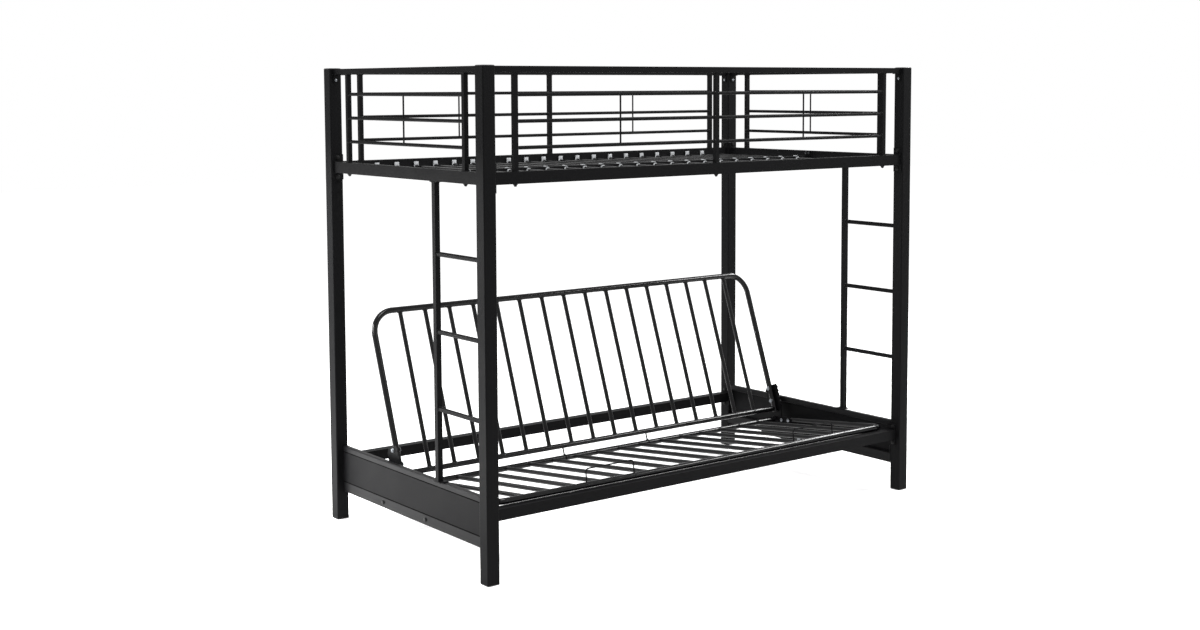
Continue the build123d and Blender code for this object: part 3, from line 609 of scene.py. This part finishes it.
# %% Collars of the guard uprights and the ladder stiles
rail_bottom, rail_top = span("upper_rail_back", Z)
guard_bottom = span("guard_rail_back", Z)[0]
upright_spots = [(x, side * post_y) for side in sides for x in (-upright_x, 0, upright_x)]
upright_spots += [(side * post_x, y) for side in sides for y in (-upright_y, upright_y)]
upright_ends = [standing((x, y, rail_top), (0, 0, 1)) for x, y in upright_spots]
upright_ends += [standing((x, y, guard_bottom), (0, 0, -1)) for x, y in upright_spots]
collar = weld_collar(upright_width, upright_width)
set_copies(collar, upright_ends, "upright_welds", frame_coat, "bed_frame")
stile_ends = [standing((side * post_x, stile_y, stile_foot), (0, 0, 1)) for side in sides]
stile_ends += [standing((side * post_x, stile_y, stile_head), (0, 0, -1)) for side in sides]
collar = weld_collar(stile_width, stile_width)
set_copies(collar, stile_ends, "stile_welds", frame_coat, "bed_frame")

# %% Collars of the rails on their end plates
plate_face_x, plate_face_y = span("upper_rail_back", X)[1], span("upper_rail_right", Y)[1]
rail_width, rail_height = extent("upper_rail_back", Y), extent("upper_rail_back", Z)
rail_middle = middle("upper_rail_back", Z)
low_rail_width = extent("low_rail_back", Y)
low_rail_y, low_rail_middle = middle("low_rail_back", Y), middle("low_rail_back", Z)
rail_ends = lengthwise(plate_face_x, post_y, rail_middle)
rail_ends += crosswise(post_x, plate_face_y, rail_middle)
collar = weld_collar(rail_width, rail_height)
set_copies(collar, rail_ends, "upper_rail_welds", frame_coat, "bed_frame")
low_rail_ends = lengthwise(plate_face_x, low_rail_y, low_rail_middle)
collar = weld_collar(low_rail_width, low_rail_width)
set_copies(collar, low_rail_ends, "low_rail_welds", frame_coat, "bed_frame")

# %% [markdown]
# A turned shape is drawn as half of its outline and spun about the middle. Washers, screw heads
# and the domes of cap nuts are all made this way. Spin takes edges, and points picked one by one
# leave them out, so all is selected once more before it. Hexagons start as a six-sided cylinder,
# and a small bevel breaks their upper edges as on a forged head.

# %% Turned and hexagonal models
def turned(outline, steps=24):
    """Spin an outline of (radius, height) points about the local Z."""
    mesh = bpy.data.meshes.new("turned")
    points = [(radius, 0, height) for radius, height in outline]
    mesh.from_pydata(points, [(n, n + 1) for n in range(len(points) - 1)], [])
    piece = bpy.data.objects.new("turned", mesh)
    bpy.context.collection.objects.link(piece)
    pick(piece, "verts", lambda vert: True)
    bpy.ops.mesh.select_all(action="SELECT")
    bpy.ops.mesh.spin(steps=steps, angle=2 * math.pi, center=(0, 0, 0), axis=(0, 0, 1))
    bpy.ops.mesh.select_all(action="SELECT")
    bpy.ops.mesh.remove_doubles(threshold=merge_distance)
    bpy.ops.mesh.normals_make_consistent(inside=False)
    bpy.ops.object.mode_set(mode="OBJECT")
    return piece


def hexagon(flats, height):
    """Six-sided prism with its upper edges broken by a small bevel."""
    bpy.ops.mesh.primitive_cylinder_add(
        vertices=6, radius=flats / math.sqrt(3), depth=height, location=(0, 0, height / 2)
    )
    bpy.ops.object.transform_apply(location=True, rotation=True, scale=True)
    prism = bpy.context.object
    return round_edges(
        prism,
        lambda edge: min(vert.co.z for vert in edge.verts) > height / 2,
        offset=flats * 0.05,
        segments=2,
    )


def joined(*models):
    """Join models into the first of them."""
    bpy.ops.object.select_all(action="DESELECT")
    for model in models:
        model.select_set(True)
    bpy.context.view_layer.objects.active = models[0]
    bpy.ops.object.join()
    return models[0]


def washer(radius, thickness):
    """Flat ring with a rounded outer edge, closed under the bolt."""
    round_off = thickness * 0.35
    upper_edge = [(radius, thickness - round_off), (radius - round_off, thickness)]
    return turned([(0, 0), (radius, 0), *upper_edge, (0, thickness)])


# %% [markdown]
# Each rail ends in a plate that two bolts hold to the post. The end panels are bolted on in the
# same way, and two more bolts go through each panel into the channel behind it. All have the same
# black head on a washer, so one head is modelled and copied.

# %% Bolt heads on the rails and panels
bolt_flats, bolt_height = 0.0133, 0.0036
washer_thickness = 0.0011
bolt_washer_radius, nut_washer_radius = 0.0088, 0.0085
rail_bolt_rise, low_bolt_rise, low_bolt_shift = 0.035, 0.031, 0.008
panel_bolt_x, panel_bolt_y, panel_bolt_heights = 0.9517, 0.476, (0.1685, 0.2285)
channel_bolt_x = span("end_panel_frame_right", X)[1]
channel_bolt_places, channel_bolt_height = (0.187, -0.1), 0.124
rail_bolts = []
for z in (rail_middle - rail_bolt_rise, rail_middle + rail_bolt_rise):
    rail_bolts += lengthwise(plate_face_x, post_y, z) + crosswise(post_x, plate_face_y, z)
for z in (low_rail_middle - low_bolt_rise, low_rail_middle + low_bolt_rise):
    rail_bolts += lengthwise(plate_face_x, low_rail_y + low_bolt_shift, z)
for z in panel_bolt_heights:
    rail_bolts += crosswise(panel_bolt_x, panel_bolt_y, z)
for side in sides:
    for y in channel_bolt_places:
        outside = (side * channel_bolt_x, y, channel_bolt_height)
        rail_bolts.append(standing(outside, (side, 0, 0)))
bolt_head = joined(
    hexagon(bolt_flats, bolt_height), washer(bolt_washer_radius, washer_thickness)
)
set_copies(
    bolt_head,
    rail_bolts,
    "rail_bolt_heads",
    black_oxide,
    "bed_frame",
    keep=True,
)

# %% [markdown]
# The guard's uprights are held by long bolts through the upper rails. Each ends below the rail in
# a cap nut, whose dome covers the thread where a hand could meet it. The dome is turned, and it
# stands on a hexagon and a washer.

# %% Cap nuts under the upper rails
dome_outline = [
    (0, 0), (0.0054, 0), (0.0054, 0.0055), (0.0046, 0.0078), (0.0026, 0.0092), (0, 0.0096)
]
cap_nut = joined(
    hexagon(bolt_flats, bolt_height),
    turned(dome_outline),
    washer(nut_washer_radius, washer_thickness),
)
nut_ends = [standing((x, y, rail_bottom), (0, 0, -1)) for x, y in upright_spots]
set_copies(cap_nut, nut_ends, "rail_cap_nuts", black_oxide, "bed_frame")

# %% [markdown]
# The folding frame is held by small plated bolts: two through each plate of the seat and of the
# backrest, a larger one at each end of the axle, and one in the foot of each arm. The heads in the
# seat lie close to the arms, so they have no washer. The backrest's nuts show an end of thread.

# %% Zinc bolts of the folding frame
side_tube_x = 0.912
tube_face_x = side_tube_x - tube_radius
seat_plate_x, back_plate_x, pivot_x = 0.8967, 0.9273, 0.9276
seat_bolt_reaches, back_bolt_reaches = (0.044, 0.084), (0.080, 0.133)


def hinge_spots(x, direction, reaches, outward):
    """Places of bolts or nuts on both hinges, facing outwards (1) or inwards (-1)."""
    return [
        standing(on_fold(direction, reach, side * x), (side * outward, 0, 0))
        for side in sides
        for reach in reaches
    ]


flat_head = hexagon(bolt_flats, bolt_height)
seat_heads = hinge_spots(seat_plate_x, seat_direction, seat_bolt_reaches, -1)
set_copies(flat_head, seat_heads, "seat_bolt_heads", zinc, "seat")
back_heads = hinge_spots(tube_face_x, back_direction, back_bolt_reaches, -1)
set_copies(bolt_head, back_heads, "back_bolt_heads", zinc, "backrest")

# %% Nuts and pivots of the folding frame
nut_flats, nut_height = 0.013, 0.0038
pivot_flats, pivot_height = 0.0192, 0.0061
foot_nut_flats, foot_nut_height = 0.0162, 0.0051
foot_x, foot_y, foot_z = 0.8911, -0.0244655, 0.124
thread_outline = [(0, 0), (0.0037, 0), (0.0037, 0.0046), (0.003, 0.0053), (0, 0.0053)]
nut = joined(
    hexagon(nut_flats, nut_height),
    turned(thread_outline, steps=16),
    washer(nut_washer_radius, washer_thickness),
)
back_nuts = hinge_spots(back_plate_x, back_direction, back_bolt_reaches, 1)
set_copies(nut, back_nuts, "back_bolt_nuts", zinc, "backrest")
pivot_head = joined(hexagon(pivot_flats, pivot_height), washer(radius=0.0125, thickness=0.001))
pivots = hinge_spots(pivot_x, seat_direction, (0,), 1)
set_copies(pivot_head, pivots, "pivot_heads", zinc, "seat")
foot_nut = hexagon(foot_nut_flats, foot_nut_height)
foot_spots = [standing((side * foot_x, foot_y, foot_z), (-side, 0, 0)) for side in sides]
set_copies(foot_nut, foot_spots, "arm_foot_nuts", zinc, "bed_frame")

# %% [markdown]
# A small rivet sits in each side tube of the backrest. The side tubes of the seat and of the
# backrest stop short of the axle, and a black plug with a rounded lip closes each open end.

# %% Rivets in the side tubes and plugs in their open ends
rivet_reach, seat_tip_reach, back_tip_reach = 0.380, 0.028, 0.034
rivet_outline = [
    (0, -0.001), (0.0044, -0.001), (0.0044, 0.0004), (0.0036, 0.0014), (0.002, 0.0021), (0, 0.0023)
]
plug_outline = [
    (0, -0.004), (0.0092, -0.004), (0.0092, 0), (0.0109, 0),
    (0.0109, 0.0008), (0.0098, 0.0019), (0, 0.0026),
]


def tube_tips(direction, reach):
    """Places of the open ends of both side tubes, facing the axle."""
    return [
        standing(on_fold(direction, reach, side * side_tube_x), -direction) for side in sides
    ]


rivet = turned(rivet_outline, steps=20)
rivet_spots = hinge_spots(tube_face_x, back_direction, (rivet_reach,), -1)
set_copies(rivet, rivet_spots, "side_tube_rivets", zinc, "backrest")
plug = turned(plug_outline)
seat_tips = tube_tips(seat_direction, seat_tip_reach)
set_copies(plug, seat_tips, "seat_tube_plugs", polyethylene, "seat", keep=True)
back_tips = tube_tips(back_direction, back_tip_reach)
set_copies(plug, back_tips, "back_tube_plugs", polyethylene, "backrest")

# %% [markdown]
# Angle brackets hold the guard rails to the posts, and a plate at each end holds the deck's middle
# beam. Both have low domed screws, which are turned. Those of the brackets shine, the others not.

# %% Domed screws of the brackets and the deck beam
bracket_thickness, bracket_screw_height = 0.0025, 1.62
beam_plate_thickness, beam_screw_y, beam_screw_height = 0.004, 0.008, 1.316
beam_screw_x = span("upper_rail_right", X)[0] - beam_plate_thickness
screw_outline = [
    (0, 0), (0.0054, 0), (0.0054, 0.0007), (0.0047, 0.0009), (0.0043, 0.002), (0.003, 0.0028),
    (0, 0.0031),
]
screw_head = turned(screw_outline, steps=20)
screws = lengthwise(post_face_x - bracket_thickness, post_y, bracket_screw_height)
screws += crosswise(post_x, post_face_y - bracket_thickness, bracket_screw_height)
set_copies(
    screw_head, screws, "bracket_screw_heads", zinc, "bed_frame", keep=True
)
screws = lengthwise(beam_screw_x, beam_screw_y, beam_screw_height)
set_copies(screw_head, screws, "beam_screw_heads", black_oxide, "bed_frame")

# %% [markdown]
# The slats are held by moulded plastic. At the rails each has a square grey clip with a short
# black sleeve. The clip is a block with rounded edges and the sleeve a turned ring, which is laid
# down so that it lies along the slat.

# %% Clips and sleeves at the rails
slat_height = 1.294
clip_width, clip_depth, clip_bottom, clip_top = 0.0184, 0.006, 0.0012, 0.0212
clip_y = span("upper_rail_back", Y)[0] - clip_depth / 2
sleeve_outline = [
    (0.0061, 0), (0.0084, 0), (0.0084, 0.0113), (0.0078, 0.012), (0.0061, 0.012), (0.0061, 0)
]


def facing(place, side):
    """Matrix that carries a model to a place, turned half round on the negative side."""
    turn = Matrix.Rotation(math.pi, 4, "Z") if side < 0 else Matrix.Identity(4)
    return Matrix.Translation(place) @ turn


clip = round_edges(
    block(clip_width, clip_depth, clip_bottom, clip_top),
    lambda edge: True,
    offset=0.0016,
    segments=2,
)
sleeve = turned(sleeve_outline)
sleeve.data.transform(Matrix.Rotation(math.pi / 2, 4, "X"))
sleeve.data.transform(Matrix.Translation((0, clip_depth / 2, 0)))
for side, name in ((-1, "front"), (1, "back")):
    spots = [facing((x, side * clip_y, slat_height), side) for x in slat_places]
    more = side < 0
    clips = set_copies(
        clip, spots, f"slat_sockets_{name}", nylon, "bed_frame", keep=more
    )
    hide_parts(f"slat_clips_{name}")
    set_copies(
        sleeve, spots, f"slat_sleeves_{name}", polyethylene, "bed_frame", keep=more
    )

# %% [markdown]
# Where a slat runs through the middle beam it has a collar on each side, under an arched saddle
# that shows as a pale crescent. The collar is turned. The saddle is a block with a wide bevel on
# all edges but those across it, and its ends are set in a little, as a mould leaves them.

# %% Collars and saddles on the beam
collar_y = 0.010
collar_outline = [
    (0.0061, 0), (0.0086, 0), (0.0086, 0.0052), (0.0078, 0.006), (0.0061, 0.006), (0.0061, 0)
]
saddle_width, saddle_length, saddle_bottom, saddle_top = 0.0138, 0.019, 0.004, 0.0142
collar_spots = [
    standing((x, side * collar_y, slat_height), (0, side, 0))
    for x in slat_places
    for side in sides
]
collar = turned(collar_outline)
set_copies(collar, collar_spots, "beam_collars", nylon, "bed_frame")
saddle = round_edges(
    block(saddle_width, saddle_length, saddle_bottom, saddle_top),
    lambda edge: edge.verts[0].co.x * edge.verts[1].co.x > 0,
    offset=0.0055,
    segments=5,
)
pick(saddle, "faces", lambda face: abs(face.normal.y) > head_on_share)
bpy.ops.mesh.inset(thickness=0.0012, depth=-0.0008)
bpy.ops.object.mode_set(mode="OBJECT")
saddle_spots = [Matrix.Translation((x, 0, slat_height)) for x in slat_places]
set_copies(saddle, saddle_spots, "beam_saddles", nylon, "bed_frame")

# %% [markdown]
# The sheet of each end panel meets the rounded corners of its two tubes in a groove. The shade
# deep
# in the groove is painted: a near-black matt strip lies there and draws the two dark lines that
# run along the panel. It is a long thin block, rounded where it faces outwards.

# %% Painted shade in the seams of the end panels
seam_x, seam_heights = 0.9623, (0.1424, 0.2546)
seam_depth, seam_length, seam_half_height = 0.0032, 0.951, 0.002
# A near-black matt strip of painted shade, made with the plastic function, stands for the shadow
# in each groove.
seam_shade_paint = moulded_plastic(
    "painted_seam_shade_black", "#020202", roughness=0.9, grain=500.0, specular=0.02
)
seam = round_edges(
    block(seam_depth, seam_length, -seam_half_height, seam_half_height),
    lambda edge: edge.verts[0].co.x > 0 and edge.verts[1].co.x > 0,
    offset=0.0009,
    segments=3,
)
seams = [facing((side * seam_x, 0, z), side) for side in sides for z in seam_heights]
set_copies(seam, seams, "panel_seam_painted_shade", seam_shade_paint, "bed_frame")

# %% [markdown]
# The square posts are closed by moulded plugs: a cap with a low crown on top, and a glide under
# each foot. Their corners follow the rounded corners of the tube. The crown is the end face,
# extruded and drawn in twice.

# %% Post caps and foot glides
plug_width, plug_corner = 0.0466, 0.0042
post_foot, post_top = span("post_back_right", Z)


def square_plug(rim, crown, crown_share):
    """Square of the post's size that rises, or hangs for negative heights, to a smaller crown."""
    plug = round_edges(
        block(plug_width, plug_width, min(0, rim), max(0, rim)),
        lambda edge: abs(edge.verts[0].co.z - edge.verts[1].co.z) > abs(rim) / 2,
        offset=plug_corner,
        segments=4,
    )
    pick(plug, "faces", lambda face: face.normal.z * math.copysign(1, rim) > head_on_share)
    for rise_share, size in ((0.7, (1 + crown_share) / 2), (0.3, crown_share)):
        rise = (0, 0, (crown - rim) * rise_share)
        bpy.ops.mesh.extrude_region_move(TRANSFORM_OT_translate={"value": rise})
        bpy.ops.transform.resize(value=(size, size, 1))
    bpy.ops.object.mode_set(mode="OBJECT")
    return plug


spots = [Matrix.Translation((sx * post_x, sy * post_y, post_top)) for sx, sy in corners]
cap = square_plug(rim=0.0014, crown=0.003, crown_share=0.8)
caps = set_copies(cap, spots, "crowned_caps", polyethylene, "bed_frame")
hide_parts("post_caps")
spots = [Matrix.Translation((sx * post_x, sy * post_y, post_foot)) for sx, sy in corners]
glide = square_plug(rim=-0.0024, crown=-0.004, crown_share=0.86)
glides = set_copies(glide, spots, "foot_glide_plugs", polyethylene, "bed_frame")
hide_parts("foot_glides")
